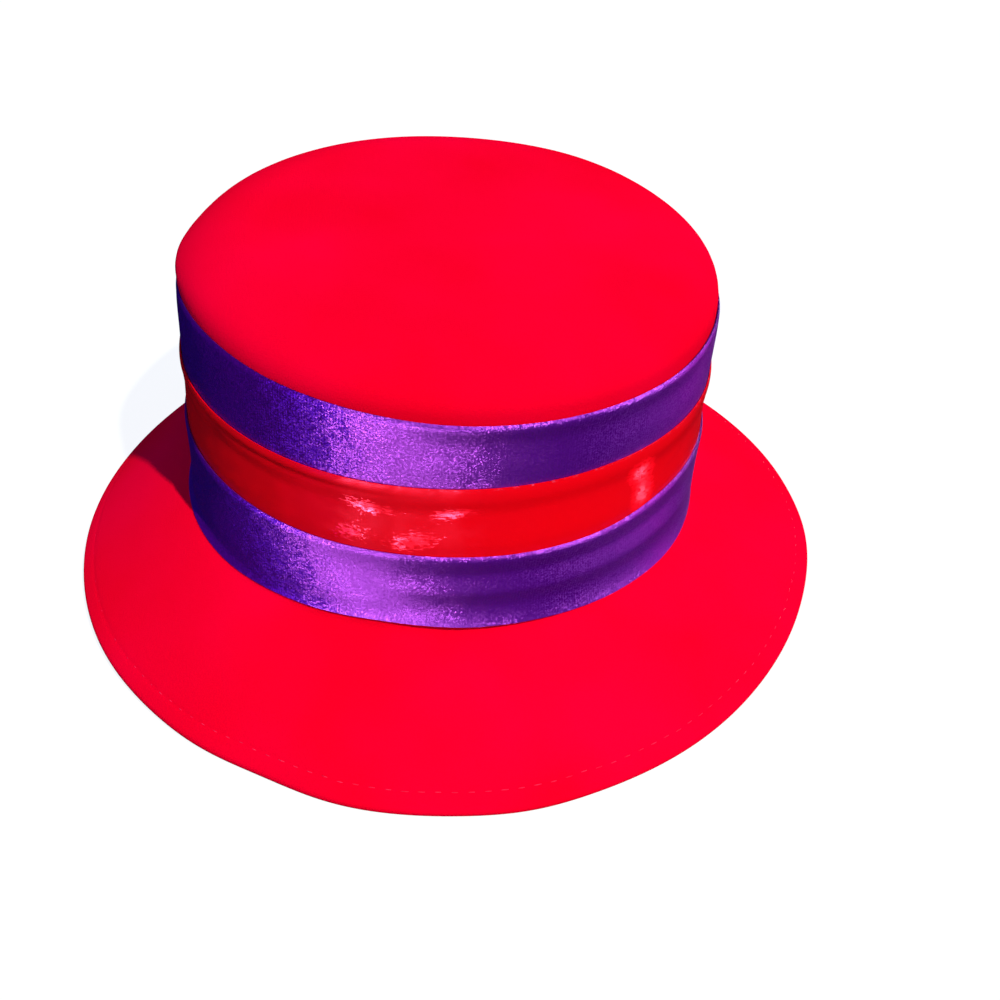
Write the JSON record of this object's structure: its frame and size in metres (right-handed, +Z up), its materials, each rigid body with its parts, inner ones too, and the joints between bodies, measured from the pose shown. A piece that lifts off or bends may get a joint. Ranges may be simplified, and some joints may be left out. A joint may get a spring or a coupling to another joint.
{
  "type": "cloche hat",
  "caption": "Felt cloche hat with a flat-topped crown, a falling brim with a turned edge, and satin ribbons laid shingled round the crown wall.",
  "frame": {"origin": "middle of the brim's edge, on the surface that the hat rests on", "axes": "+Z up through the crown, -Y towards the front of the hat, +X towards the wearer's left"},
  "size_m": [0.2754, 0.289, 0.1235],
  "materials": {
    "felt_red": "matte wool felt with a short nap",
    "satin_purple": "glossy satin ribbon",
    "satin_red": "glossy satin ribbon"
  },
  "bodies": {
    "root": {"felt_body": "felt_red", "ribbon_lower": "satin_purple", "ribbon_middle": "satin_red", "ribbon_upper": "satin_purple"}
  },
  "joints": []
}
